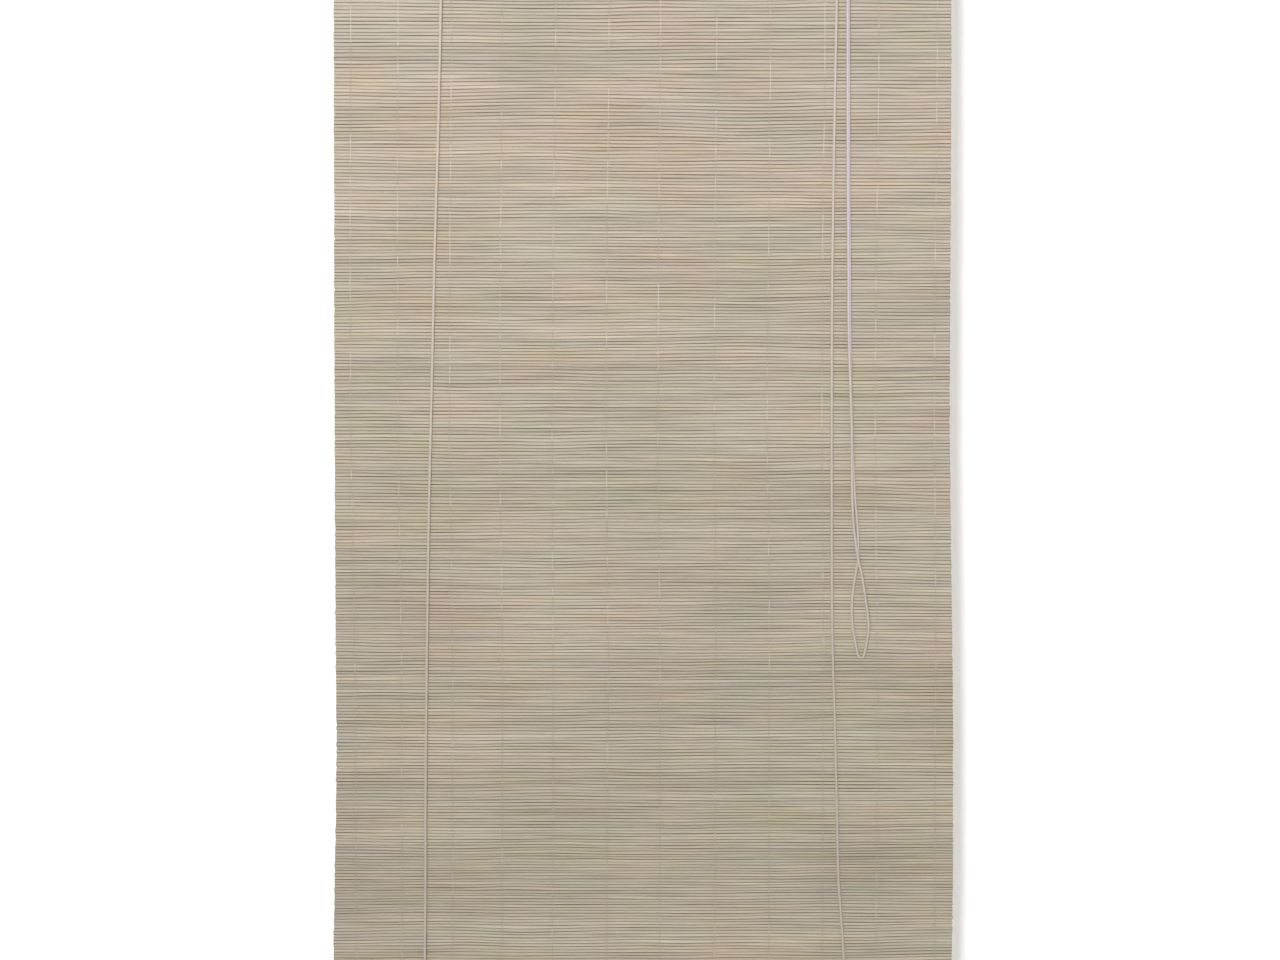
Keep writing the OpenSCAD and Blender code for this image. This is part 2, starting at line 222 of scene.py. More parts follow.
def cord_material():
    """Two sets of slanted waves along the cord cross to make its braid."""
    material, tree, shader = new_material("braided_cord")
    slant = math.radians(38)
    along = add(tree, "ShaderNodeUVMap", uv_map="along")
    waves = []
    for turn in (slant, -slant):
        mapping = add(tree, "ShaderNodeMapping")
        mapping.inputs["Rotation"].default_value = (0, 0, turn)
        link(tree, along.outputs["UV"], mapping.inputs["Vector"])
        wave = add(tree, "ShaderNodeTexWave", wave_type="BANDS", bands_direction="X", wave_profile="SIN")
        wave.inputs["Scale"].default_value = 190
        wave.inputs["Distortion"].default_value = 0.4
        link(tree, mapping.outputs["Vector"], wave.inputs["Vector"])
        waves.append(wave.outputs["Fac"])
    braid = combine(tree, "MULTIPLY", *waves)
    shade = ramp(tree, braid, [(0, (0.66, 0.66, 0.66)), (0.6, (1, 1, 1))])
    both = add(tree, "ShaderNodeVectorMath", operation="MULTIPLY")
    link(tree, shade, both.inputs[0])
    link(tree, tone_of(tree), both.inputs[1])
    link(tree, both.outputs["Vector"], shader.inputs["Base Color"])
    shader.inputs["Roughness"].default_value = 0.8
    shader.inputs["Specular IOR Level"].default_value = 0.2
    shader.inputs["Sheen Weight"].default_value = 0.5
    shader.inputs["Sheen Roughness"].default_value = 0.4
    link(tree, bump(tree, braid, distance=0.0003, strength=0.7), shader.inputs["Normal"])
    return material


def pine_material():
    material, tree, shader = new_material("pine")
    grain = noise(tree, stretch=(2.2, 60, 75), detail=5, rough=0.62)
    pores = noise(tree, stretch=(40, 900, 900), detail=3, rough=0.6)
    wood = ramp(tree, grain, [(0.34, (0.4, 0.27, 0.145)), (0.64, (0.6, 0.455, 0.285))])
    shade = remap(tree, pores, low=0.88, high=1.08)
    link(tree, scaled(tree, wood, shade), shader.inputs["Base Color"])
    shader.inputs["Roughness"].default_value = 0.55
    link(tree, bump(tree, pores, distance=0.0002, strength=0.4), shader.inputs["Normal"])
    return material


def steel_material():
    material, tree, shader = new_material("zinc_steel")
    brush = noise(tree, stretch=(90, 900, 900), detail=3, rough=0.6)
    cloud = noise(tree, stretch=(60, 60, 60), detail=2, rough=0.5)
    shader.inputs["Base Color"].default_value = (0.37, 0.375, 0.38, 1)
    shader.inputs["Metallic"].default_value = 1.0
    brushed = remap(tree, brush, low=0.68, high=0.82)
    clouded = remap(tree, cloud, low=0.0, high=0.12)
    link(tree, combine(tree, "ADD", brushed, clouded), shader.inputs["Roughness"])
    link(tree, bump(tree, brush, distance=0.00006, strength=0.4), shader.inputs["Normal"])
    return material


def nylon_material():
    material, tree, shader = new_material("nylon")
    speck = noise(tree, stretch=(300, 300, 300), detail=2, rough=0.5)
    shader.inputs["Base Color"].default_value = (0.79, 0.79, 0.74, 1)
    shader.inputs["Subsurface Weight"].default_value = 0.1
    shader.inputs["Subsurface Radius"].default_value = (0.002, 0.002, 0.0015)
    link(tree, remap(tree, speck, low=0.34, high=0.5), shader.inputs["Roughness"])
    return material


BAMBOO = bamboo_material()
THREAD = thread_material()
CORD = cord_material()
PINE = pine_material()
STEEL = steel_material()
NYLON = nylon_material()


# Mesh helpers: shapes are worked out in mm, in the part's frame

def mesh_object(name, verts, faces, material, smooth=None, tone=None, uv=None):
    mesh = bpy.data.meshes.new(name)
    mesh.from_pydata([tuple(v) for v in np.asarray(verts) * MM], [], faces)
    mesh.materials.append(material)
    mesh.polygons.foreach_set("use_smooth", [True] * len(mesh.polygons) if smooth is None else smooth)
    if tone is not None:
        colours = np.hstack([tone, np.ones((len(tone), 1))])
        layer = mesh.attributes.new("tone", "FLOAT_COLOR", "POINT")
        layer.data.foreach_set("color", colours.astype(np.float32).ravel())
    if uv is not None:
        layer = mesh.uv_layers.new(name="along")
        corners = np.zeros(len(mesh.loops), np.int32)
        mesh.loops.foreach_get("vertex_index", corners)
        layer.data.foreach_set("uv", np.asarray(uv, np.float32)[corners].ravel())
    mesh.update()
    return new_object(name, mesh)


def fit(piece, body, slot, *nodes):
    """The piece rides on a body and stands for nodes of the CAD part."""
    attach(piece, body)
    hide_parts(*nodes)


def unit(vectors):
    return vectors / np.linalg.norm(vectors, axis=1)[:, None]


def ease(u):
    """A soft step from 0 to 1."""
    return u * u * (3 - 2 * u)


def value_at(table, places):
    """Values between the pairs of a table, each of which is a place and its value."""
    return np.interp(places, *zip(*table))


def path_lengths(path):
    return np.linalg.norm(np.diff(path, axis=0), axis=1)


MOST_STEPS = 24  # between two points of a route
SHORTEST_SPAN = 1e-6


def smooth_route(points, step):
    """A smooth curve through a route's points, cut about every step."""
    p = np.asarray(points, float)
    longer = np.vstack([2 * p[0] - p[1], p, 2 * p[-1] - p[-2]])
    d = np.sqrt(np.maximum(path_lengths(longer), SHORTEST_SPAN))
    path = [p[0]]
    for i in range(1, len(longer) - 2):
        p0, p1, p2, p3 = longer[i - 1:i + 3]
        d0, d1, d2 = d[i - 1:i + 2]
        m1 = d1 * ((p1 - p0) / d0 - (p2 - p0) / (d0 + d1) + (p2 - p1) / d1)
        m2 = d1 * ((p2 - p1) / d1 - (p3 - p1) / (d1 + d2) + (p3 - p2) / d2)
        cuts = max(1, int(round(np.linalg.norm(p2 - p1) / step)))
        cuts = min(cuts, MOST_STEPS)
        for k in range(1, cuts + 1):
            u = k / cuts
            path.append((2 * u**3 - 3 * u**2 + 1) * p1 + (u**3 - 2 * u**2 + u) * m1
                        + (-2 * u**3 + 3 * u**2) * p2 + (u**3 - u**2) * m2)
    return np.array(path)


def tube_data(path, r, sides, ref):
    """Rings along a path, with UV in metres: along the cord and round it. No part of the path follows ref."""
    path = np.asarray(path, float)
    along = unit(np.gradient(path, axis=0))
    across = unit(np.cross(along, np.asarray(ref, float)))
    out = np.cross(across, along)
    angle = np.linspace(0, 2 * math.pi, sides, endpoint=False)
    offset_across = np.cos(angle)[None, :, None] * across[:, None, :]
    offset_out = np.sin(angle)[None, :, None] * out[:, None, :]
    rings = path[:, None, :] + r * (offset_across + offset_out)
    distance = np.concatenate([[0], np.cumsum(path_lengths(path))])
    fold = np.abs((angle / math.pi + 1) % 2 - 1)
    uv = np.stack([np.repeat(distance, sides), np.tile(fold * math.pi * r, len(path))], axis=1)
    return rings.reshape(-1, 3), uv * MM


def tube_faces(rings, sides, start=0, caps=True):
    faces = []
    for i in range(rings - 1):
        low = start + i * sides
        high = low + sides
        for k in range(sides):
            after = (k + 1) % sides
            faces.append((low + k, low + after, high + after, high + k))
    if caps:
        last = start + (rings - 1) * sides
        faces.append(tuple(range(start + sides - 1, start - 1, -1)))
        faces.append(tuple(range(last, last + sides)))
    return faces


# Painted light falloff: the blind's tone is painted lighter at the top and darker lower down, as light
# falling off downwards
LIT_TOP = 1.083
DIM_BOTTOM = 0.87
LIT_TOP_END_SHARE = 0.15
DIM_BOTTOM_START_SHARE = 0.85


def painted_falloff(z):
    """A factor of painted light for a height: lighter at the top, darker lower down."""
    down = (RAIL_TOP - np.asarray(z, float)) / MAT_LEN
    u = np.clip((down - LIT_TOP_END_SHARE) / (DIM_BOTTOM_START_SHARE - LIT_TOP_END_SHARE), 0, 1)
    return LIT_TOP + (DIM_BOTTOM - LIT_TOP) * ease(u)


# Cords

LIFT_TONE = np.array([0.74, 0.653, 0.558])
PULL_TONE = np.array([0.765, 0.674, 0.713])
LOOP_TONE = np.array([0.761, 0.674, 0.59])
CORD_FALLOFF = 1.6  # the cords' painted light falls off more than the mat's, by this power
CORD_SIDES = 12
PULL_STEP = 6
RUN_STEP = 9
TAIL_STEP = 60


def cord_object(name, path, r=BRAID_R, ref=(0, 1, 0), tone=LIFT_TONE):
    verts, uv = tube_data(path, r, CORD_SIDES, ref)
    # Painted light falloff: the cord is painted darker lower down.
    tone = tone * painted_falloff(verts[:, 2])[:, None] ** CORD_FALLOFF
    return mesh_object(name, verts, tube_faces(len(path), CORD_SIDES), CORD, tone=tone, uv=uv)


def draw_up(piece):
    """Gives a cord's run a mesh of its own."""
    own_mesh(piece)


# Pull cord: from the lock's front exit down, round the loop and up to the rear exit
PULL = [
    (265.5, -33.9, -66), (265.5, -33.6, -90), (265.2, -30, -190), (265.4, -26.5, -320), (265.8, -25.6, -430),
    (266.4, -25.6, -530), (267, -25.6, -630), (269, -25.6, -690), (270.6, -25.6, -745), (270.9, -25.6, -790),
    (271.2, -25.6, -830), (272.6, -25.6, -862), (275.2, -25.6, -888), (279, -25.7, -913),
    (283.2, -25.6, -931), (286.4, -25.4, -950), (289, -25.1, -968), (291.6, -24.8, -985),
    (292.6, -24.5, -1000), (291.2, -24.2, -1014), (288.8, -23.9, -1028), (287.2, -23.7, -1036),
    (285, -23.5, -1040.4), (281.2, -23.3, -1040.6), (278.8, -23.1, -1036.4), (276.2, -22.8, -1024),
    (272.8, -22.6, -1006), (271.2, -22.5, -988), (271.2, -22.4, -968), (273.2, -22.3, -949),
    (276.2, -22.3, -931), (279.2, -22.3, -913), (279, -22.3, -893), (278, -22.3, -866), (275.2, -22.3, -836),
    (272.8, -22.3, -790), (271.4, -22.3, -745), (270, -22.3, -690), (269, -22.3, -630), (268.4, -22.3, -530),
    (267.6, -22.6, -430), (267.2, -23.5, -320), (266.8, -26.2, -190), (265.8, -28.5, -90),
    (265.5, -28.6, -66),
]
# It is faintly violet above and cream towards its loop: depth and share of the loop's tone
CREAM = [(560, 0), (700, 0.75), (960, 1)]
pull_path = smooth_route(PULL, PULL_STEP)
cream = np.repeat(value_at(CREAM, -pull_path[:, 2]), CORD_SIDES)[:, None]
pull = cord_object("pull_cord_braid", pull_path, tone=PULL_TONE + cream * (LOOP_TONE - PULL_TONE))
fit(pull, "blind", "cord", "pull_cord")


# Lift cords: the run up the front of the mat, and the part that stays on the sheaves

QUARTER_POINTS = 10
HALF_POINTS = 18


def arc(x, y, start, end, points):
    """A cord's way over a sheave, between two angles in degrees."""
    angles = np.radians(np.linspace(start, end, points))
    return [(x + PITCH_R * math.cos(a), y, SHEAVE_Z + PITCH_R * math.sin(a)) for a in angles]


LEFT_RUN = [
    (-283, -26.1, -1603.9), (-283, -26.1, -1574), (-281.2, -22.4, -1380), (-280.4, -21.8, -1170),
    (-276.6, -21.8, -860), (-272.6, -21.8, -680), (-268.7, -22, -500), (-264.8, -22.5, -370),
    (-261, -24.5, -190), (-260, -28.6, -62),
]
RIGHT_RUN = [
    (268, -26.1, -1603.9), (268, -26.1, -1574), (260.5, -22.5, -1426), (254, -21.8, -1330),
    (251.5, -21.8, -1225), (249, -21.8, -1120), (246.5, -21.8, -1044), (245.4, -21.8, -966),
    (245.4, -21.8, -600), (247, -22.2, -450), (249.5, -23.5, -292), (251.3, -26, -190), (251.5, -33.9, -62),
]
LEFT_OVER = [
    (LEFT_PULLEY_X - PITCH_R, REAR_Y, RUN_TOP_Z),
    *arc(LEFT_PULLEY_X, REAR_Y, 180, 90, QUARTER_POINTS),
    *arc(LOCK_X, REAR_Y, 90, 0, QUARTER_POINTS),
    (LOCK_X + PITCH_R, REAR_Y, EXIT_Z),
]
RIGHT_OVER = [
    (LOCK_X - PITCH_R, FRONT_Y, RUN_TOP_Z),
    *arc(LOCK_X, FRONT_Y, 180, 0, HALF_POINTS),
    (LOCK_X + PITCH_R, FRONT_Y, EXIT_Z),
]
for hand, run, over in (("left", LEFT_RUN, LEFT_OVER), ("right", RIGHT_RUN, RIGHT_OVER)):
    lift_run = cord_object(hand + "_lift_run", smooth_route(run, RUN_STEP))
    fit(lift_run, "blind", "cord", hand + "_lift_cord")
    draw_up(lift_run)
    lift_over = cord_object(hand + "_lift_over_sheave", over)
    fit(lift_over, "blind", "cord", hand + "_lift_cord")


# Cord tails behind the mat, tied to their eyes, and the slings under the rod

TAIL_GAP = 1.1  # below the eye's ring
TAIL_CLEAR = 0.1  # above the sling's end
TAIL_STRAIGHT = 30
KNOT_POINTS = 60
KNOT_R = 1.3
KNOT_REF = (1, 0.2, 0.1)
THROUGH_SHARE = 0.35  # of the knot's points
THROUGH_START = -0.3 * math.pi
THROUGH_SWEEP = 1.3 * math.pi
THROUGH_LEAN = 0.2
TURN_RX = 2.3
TURN_RY = 2.5
TURNS = 2.5
TURN_DROP = 2.6  # from the ring to the first turn
TURN_STEP = 3.8
SLING_POINTS = 28


def knot_path(eye_x):
    """A tail's end passes through its eye and is wound round the tail below it."""
    ring_z = EYE_Z - EYE_R
    u = np.linspace(0, 1, KNOT_POINTS)
    through = np.clip(u / THROUGH_SHARE, 0, 1) * THROUGH_SWEEP + THROUGH_START
    turns = TURNS * np.clip((u - THROUGH_SHARE) / (1 - THROUGH_SHARE), 0, 1)
    turned = 2 * math.pi * turns
    loop = np.stack([
        eye_x + THROUGH_LEAN * u,
        EYE_Y - TURN_RY * np.cos(through),
        ring_z + TURN_RY * np.sin(through),
    ], axis=1)
    wound = np.stack([
        eye_x + TURN_RX * np.sin(turned),
        EYE_Y + TURN_RY * np.cos(turned),
        ring_z - TURN_DROP - TURN_STEP * turns,
    ], axis=1)
    return np.where(u[:, None] < THROUGH_SHARE, loop, wound)


def sling_path(x):
    angle = np.radians(np.linspace(0, 180, SLING_POINTS))
    y = MAT_MID + SLING_R * np.cos(angle)
    z = ROD_Z - SLING_R * np.sin(angle)
    return np.stack([np.full(SLING_POINTS, x), y, z], axis=1)


for hand, eye_x, sling_x in (("left", LEFT_EYE_X, LEFT_SLING_X), ("right", RIGHT_EYE_X, RIGHT_SLING_X)):
    tail_y = MAT_MID + SLING_R
    tail_top = (eye_x, EYE_Y, EYE_Z - EYE_R - TAIL_GAP)
    tail = [(sling_x, tail_y, ROD_Z + TAIL_CLEAR), (sling_x, tail_y, ROD_Z + TAIL_STRAIGHT), tail_top]
    tail_run = cord_object(hand + "_tail_run", smooth_route(tail, TAIL_STEP))
    fit(tail_run, "blind", "cord", hand + "_cord_tail")
    draw_up(tail_run)
    knot = cord_object(hand + "_tail_knot", knot_path(eye_x), r=KNOT_R, ref=KNOT_REF)
    fit(knot, "blind", "cord", hand + "_cord_tail")
    sling = cord_object(hand + "_sling_braid", sling_path(sling_x), ref=(1, 0, 0))
    fit(sling, "cord_slings", "cord", hand + "_cord_sling")


# Mat: slats lie between wavy boundaries, and dark rind with painted shade at their edges makes the lines
# between them

rng = np.random.default_rng(20)
NX = 49  # places along a slat
PLACES = np.linspace(0, 1, NX)[None, :]


def wander(lines, knots):
    """Random lines along X, smooth between the knots, about one unit high."""
    heights = rng.standard_normal((lines, knots + 3))
    x = PLACES * knots + rng.random((lines, 1))
    knot = np.minimum(x.astype(int), knots + 1)
    u = ease(x - knot)
    line = np.arange(lines)[:, None]
    return heights[line, knot] * (1 - u) + heights[line, knot + 1] * u


def scatter(lines):
    """One random number for each slat or boundary."""
    return rng.standard_normal((lines, 1))


def field(rows, cols, seed):
    """A smooth patchy field over the mat: one value for each slat and each place along it."""
    heights = np.random.default_rng(seed).standard_normal((rows + 2, cols + 2))
    down = np.linspace(0, rows, SLATS)
    across = np.linspace(0, cols, NX)
    row = down.astype(int)
    col = across.astype(int)
    ru = ease(down - row)[:, None]
    cu = ease(across - col)[None, :]
    upper = heights[np.ix_(row, col)] * (1 - cu) + heights[np.ix_(row, col + 1)] * cu
    lower = heights[np.ix_(row + 1, col)] * (1 - cu) + heights[np.ix_(row + 1, col + 1)] * cu
    return upper * (1 - ru) + lower * ru


def patches(layers):
    """A sum of fields. Each layer is a weight, patches down the mat, patches across it and a seed."""
    return sum(weight * field(rows, cols, seed) for weight, rows, cols, seed in layers)


# Height of a slat at levels down the photograph, both in px: slats are broader in some places than in others
PITCH = [(MAT_TOP_PX, 3.55), (140, 3.45), (270, 3.1), (430, 3.35), (630, 3), (770, 3.2), (870, 2.8),
         (960, 2.9), (MAT_BOTTOM_PX, 3.8)]
LEVELS = 4000
level = np.linspace(MAT_TOP_PX, MAT_LEN / PX + MAT_TOP_PX, LEVELS)
slats_above = np.cumsum(1 / value_at(PITCH, level))
slats_above = (slats_above - slats_above[0]) / (slats_above[-1] - slats_above[0]) * SLATS
row_level = np.interp(np.arange(SLATS + 1), slats_above, level)
row_z = RAIL_TOP - (row_level - MAT_TOP_PX) * PX

# Boundaries between slats wander along the mat, in mm, and neighbours overlap there by a hair
DRIFT = [(0.72, 40, 6, 3), (0.75, 30, 3, 4), (0.33, 90, 14, 11)]
RIPPLE = 0.28
RIPPLE_MOST = 0.6
SWAY = 0.12
TOP_TRIM = 0.15
BOTTOM_TRIM = 0.1
OVERLAP = 0.01
drift = patches(DRIFT)
drift = np.vstack([drift, drift[-1:]])
ripple = np.clip(wander(SLATS + 1, knots=11) * RIPPLE, -RIPPLE_MOST, RIPPLE_MOST)
edge_z = row_z[:, None] + drift + ripple + wander(SLATS + 1, knots=4) * SWAY
edge_z[0] = RAIL_TOP - TOP_TRIM
edge_z[-1] = RAIL_TOP - MAT_LEN + BOTTOM_TRIM
slat_high = edge_z[:-1] + OVERLAP
slat_low = edge_z[1:] - OVERLAP

# The rind at a slat's edges is dark, and painted shade of the grooves between slats is added to it, more in
# some places than in others
RIND_SHADE_MEAN = 0.5
RIND_SHADE_FINE = 0.38
RIND_SHADE_BROAD = 0.15
RIND_SHADE_BY_SLAT = 0.08
RIND_SHADE_MOST = 1.3
# Rind and painted groove shade darken blue most, so the lines are warm.
RIND_SHADE_TINT = np.array([0.95, 0.99, 1.1])
rind_shade = RIND_SHADE_MEAN + RIND_SHADE_FINE * wander(SLATS + 1, knots=14) + RIND_SHADE_BROAD * wander(SLATS + 1, knots=6)
rind_shade = np.clip(rind_shade + RIND_SHADE_BY_SLAT * scatter(SLATS + 1), 0, RIND_SHADE_MOST)

# Slats lie a little before or behind the mat's middle, and some are thinner
LEAN = 0.1
LEAN_MOST = 0.25
STAND = 0.07
STAND_MOST = 0.15
THICK_SHARE = 0.93
THICK_BY_SLAT_SHARE = 0.06
THICK_ALONG_SHARE = 0.02
BY_SLAT_LIMITS = (-1.5, 1.1)
ALONG_LIMITS = (-2, 2)
slat_y = MAT_MID + np.clip(wander(SLATS, knots=4) * LEAN, -LEAN_MOST, LEAN_MOST)
slat_y = slat_y + np.clip(scatter(SLATS) * STAND, -STAND_MOST, STAND_MOST)
thick_shares = THICK_SHARE + THICK_BY_SLAT_SHARE * scatter(SLATS).clip(*BY_SLAT_LIMITS)
thick_shares = thick_shares + THICK_ALONG_SHARE * wander(SLATS, knots=6).clip(*ALONG_LIMITS)
slat_half = SLAT_T / 2 * thick_shares

# Slat tones: mostly grey-beige, with yellower, greener and pinker stretches; painted light falloff makes them
# darker lower down
BASE = np.array([0.48, 0.4195, 0.3525])
LIGHT_BY_SLAT = 0.034
LIGHT_ALONG = 0.05
LIGHT_PATCHES = [(0.03, 30, 6, 5), (0.015, 9, 3, 6), (0.022, 48, 1, 15)]
YELLOW_PATCHES = [(0.12, 26, 7, 8), (0.26, 70, 18, 12), (0.16, 60, 1, 16)]
GREEN_PATCHES = [(0.15, 24, 6, 9), (0.32, 64, 16, 13), (0.12, 40, 1, 18)]
PINK_PATCHES = [(0.15, 22, 6, 10), (0.32, 60, 17, 14), (0.14, 55, 1, 17)]
# Colour factor, its share at the top, what is added at the bottom, its spread along a slat, the most, patches
TINTS = (
    ((1.04, 1.0, 0.9), 0.25, 0.3, 0.18, 1.4, YELLOW_PATCHES),
    ((0.94, 1.0, 0.95), 0.08, 0.45, 0.16, 1.3, GREEN_PATCHES),
    ((1.05, 0.965, 0.95), 0.12, -0.2, 0.16, 1.3, PINK_PATCHES),
)
DARKEST = 0.05
LIGHTEST = 0.9
down = np.linspace(0, 1, SLATS)[:, None]
light = 1 + LIGHT_BY_SLAT * scatter(SLATS) + LIGHT_ALONG * wander(SLATS, knots=9) + patches(LIGHT_PATCHES)
# Painted light falloff: slats are painted darker lower down.
light = light * painted_falloff(RAIL_TOP - MAT_LEN * down)
slat_tone = BASE * light[..., None]
for colour, top_share, added, spread, most, layers in TINTS:
    share = top_share + added * down + spread * wander(SLATS, knots=8) + patches(layers)
    share = np.clip(share, 0, most)
    slat_tone = slat_tone * (1 + share[..., None] * (np.array(colour) - 1))
slat_tone = np.clip(slat_tone, DARKEST, LIGHTEST)

# The mat's sides wander a little, and slat ends are uneven, in mm.
# A side is a list of levels down the photograph and places across it, in px.
LEFT_SIDE = [(0, 333.2), (330, 333.8), (620, 335), (720, 336.2), (800, 335.3), (960, 332.8)]
RIGHT_SIDE = [(0, 950.8), (100, 950.8), (400, 949.2), (700, 952.7), (880, 952.4), (960, 951.4)]
LEFT_RAGGED = 0.3
RIGHT_RAGGED = 0.25
RAGGED_MOST = 2
slat_level = (np.arange(SLATS) + 0.5) * SLAT_STEP / PX + MAT_TOP_PX


def mat_side(table, ragged):
    """X of the slats' ends at one side."""
    uneven = rng.standard_normal(SLATS).clip(-RAGGED_MOST, RAGGED_MOST) * ragged
    return ((value_at(table, slat_level) - SIDES_MIDDLE_PX) * PX + uneven)[:, None]


left_end = mat_side(LEFT_SIDE, LEFT_RAGGED)
right_end = mat_side(RIGHT_SIDE, RIGHT_RAGGED)
slat_x = left_end + (right_end - left_end) * PLACES

# A slat's section is a rounded oblong, and its tone darkens towards its two edges, for dark rind and painted
# shade between slats
SECTION = 10
FULLNESS_Y = 0.7
FULLNESS_Z = 0.75
NEAR_EDGE = 0.8  # of the section's half height, and so is the next
AT_EDGE = 0.99
NEAR_DARK = 0.04  # least darkness near an edge, and what the rind and its painted shade add to it
NEAR_RIND_SHADE = 0.32
EDGE_DARK = 0.5  # the same at the edge
EDGE_RIND_SHADE = 0.42
DARK_MOST = 0.96


def rounded(wave, fullness):
    values = np.sign(wave) * np.abs(wave) ** fullness
    return values / np.abs(values).max()


section_angle = np.linspace(0, 2 * math.pi, SECTION, endpoint=False) + math.pi / SECTION
SECTION_Y = rounded(np.cos(section_angle), FULLNESS_Y)
SECTION_Z = rounded(np.sin(section_angle), FULLNESS_Z)


def slat_shade(i):
    """Factors of tone round a slat: darker towards its two edges, for dark rind and painted shade between
    slats.
    """
    dark = np.zeros((NX, SECTION, 1))
    for edge, up in ((rind_shade[i], 1), (rind_shade[i + 1], -1)):
        near = NEAR_DARK + NEAR_RIND_SHADE * edge
        outermost = np.clip(EDGE_DARK + EDGE_RIND_SHADE * edge, 0, DARK_MOST)
        dark[:, SECTION_Z * up > NEAR_EDGE, 0] = near[:, None]
        dark[:, SECTION_Z * up > AT_EDGE, 0] = outermost[:, None]
    return np.clip(1 - dark * RIND_SHADE_TINT, 0, 1)


def slat_mesh(first, last):
    """Slats as tubes of an oblong section. Their flat ends have points of their own."""
    verts, faces, smooth, tones = [], [], [], []
    with_ends = list(range(NX)) + [0, NX - 1]
    for i in range(first, last):
        middle = (slat_high[i] + slat_low[i]) / 2
        half = (slat_high[i] - slat_low[i]) / 2
        rings = np.stack([
            np.repeat(slat_x[i][:, None], SECTION, axis=1),
            slat_y[i][:, None] + slat_half[i][:, None] * SECTION_Y[None, :],
            middle[:, None] + half[:, None] * SECTION_Z[None, :],
        ], axis=2)
        start = len(verts) * len(with_ends) * SECTION
        sides = tube_faces(NX, SECTION, start, caps=False)
        left = start + NX * SECTION
        right = left + SECTION
        faces += sides
        faces.append(tuple(range(right - 1, left - 1, -1)))
        faces.append(tuple(range(right, right + SECTION)))
        smooth += [True] * len(sides) + [False, False]
        verts.append(rings[with_ends].reshape(-1, 3))
        tone = slat_tone[i][:, None, :] * slat_shade(i)
        tones.append(tone[with_ends].reshape(-1, 3))
    return np.vstack(verts), faces, smooth, np.vstack(tones)


# Warp threads: pairs of strands that pass in front of and behind the slats by turns

# Place across the photograph of each thread, in px: high up and low down
WARP_PX = [(349, 354), (397, 400), (450, 451.5), (501, 501.5), (555, 552), (608, 606),
           (660, 659), (716, 714), (769, 768), (824, 822), (878, 876), (936, 934)]
WARP_NODES = ["warp_thread_%02d" % (i + 1) for i in range(len(WARP_PX))]
HIGH_SHARE = 0.11  # of the drop, where the first place is read
HIGH_TO_LOW_SHARE = 0.6
SLANT_LIMITS = (-0.2, 1.35)  # a thread keeps its slant this far past the two places
# The warp bows a little to the left in the middle: level down the photograph and shift across it, in px
BOW = [(MAT_TOP_PX, 1), (60, 0.8), (240, -0.8), (420, -1.5), (660, 1), (MAT_BOTTOM_PX, 0.5)]
STRAY = 0.05
STRAY_MOST = 0.8
row_share = np.linspace(0, 1, SLATS + 1)


def warp_line(high, low):
    """X of a warp thread at each boundary between slats."""
    bow = value_at(BOW, (RAIL_TOP - row_z) / PX + MAT_TOP_PX)
    slant = (low - high) * np.clip((row_share - HIGH_SHARE) / HIGH_TO_LOW_SHARE, *SLANT_LIMITS)
    stray = np.cumsum(rng.standard_normal(SLATS + 1)) * STRAY
    stray -= np.linspace(stray[0], stray[-1], SLATS + 1)
    return (high - WARP_MIDDLE_PX + bow + slant) * PX + np.clip(stray, -STRAY_MOST, STRAY_MOST)


warp_lines = [warp_line(high, low) for high, low in WARP_PX]

# Threads stand out in short stretches, most at the top: share of the drop and strength
STRENGTH = [(0, 0.82), (0.3, 0.8), (0.5, 0.66), (0.65, 0.45), (0.85, 0.2), (1, 0.1)]
STRETCHES = 92
FLICKER = 0.45
SHOW_LIMIT = 0.75
SHOW_SOFT = 0.4
SHOW_LEAST = 0.55
show_rng = np.random.default_rng(31)
strength = value_at(STRENGTH, row_share)


def thread_shows():
    """How far a thread stands out at each boundary, from 0 to 1."""
    knots = show_rng.random(STRETCHES + 2)
    shows = np.interp(np.linspace(0, STRETCHES, SLATS + 1), np.arange(STRETCHES + 2), knots)
    shows = shows + FLICKER * (show_rng.random(SLATS + 1) - 0.5)
    shows = np.clip((shows - SHOW_LIMIT + SHOW_SOFT * strength) / SHOW_SOFT, 0, 1)
    return shows * (SHOW_LEAST + (1 - SHOW_LEAST) * strength)


warp_shows = [thread_shows() for _ in WARP_PX]
THREAD_BRIGHT = np.array([0.672, 0.628, 0.59])
THREAD_DULL = np.array([0.445, 0.389, 0.325])
THREAD_R = 0.45
THREAD_CORNER_R = 0.54
THREAD_SIDES = 4
STRAND_SWING = 0.55
BULGE = [0, 0.86, 1, 0.86]  # how far a strand stands off, at steps down a slat
ACROSS = np.array([1.0, 0, 0])


def strand_points(line, at, strand, first, last):
    """A strand crosses its fellow at each slat and swings from face to face."""
    points = []
    for i in range(first, last):
        top = edge_z[i][at]
        low = edge_z[i + 1][at]
        face = -1 if (i + strand) % 2 == 0 else 1
        swing = STRAND_SWING * (1 if strand else -1) * (1 if i % 2 else -1)
        reach = slat_half[i].max() + THREAD_R
        for step, bulge in enumerate(BULGE):
            u = step / len(BULGE)
            x = line[i] + swing * (1 - 2 * u)
            middle = slat_y[i][at] if step else MAT_MID
            points.append((x, middle + face * reach * bulge, top + (low - top) * u))
    points.append((line[last] - swing, MAT_MID, edge_z[last][at]))
    return np.array(points)


